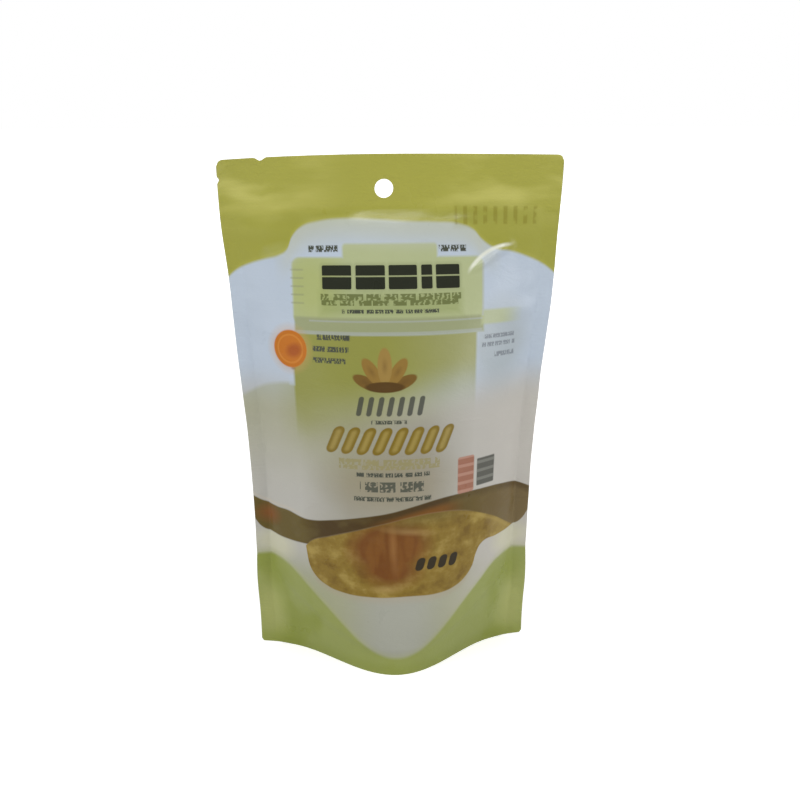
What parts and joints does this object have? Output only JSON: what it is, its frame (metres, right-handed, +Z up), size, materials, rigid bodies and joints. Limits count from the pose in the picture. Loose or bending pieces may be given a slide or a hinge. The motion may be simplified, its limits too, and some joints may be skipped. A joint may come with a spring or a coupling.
{
  "type": "hand soap refill pack",
  "caption": "Stand-up film pouch filled with liquid hand soap, flat top band with a hang hole, welded side seals and a folded gusset that it stands on.",
  "frame": {"origin": "centre of the bounding box at the rim that the pouch stands on", "axes": "+Z up towards the top band, -Y out of the front panel, +X to the right as seen from the front"},
  "size_m": [0.11, 0.0548, 0.17],
  "materials": {
    "printed_film": "printed film, satin gloss"
  },
  "bodies": {
    "root": {"refill_pouch": "printed_film"}
  },
  "joints": []
}
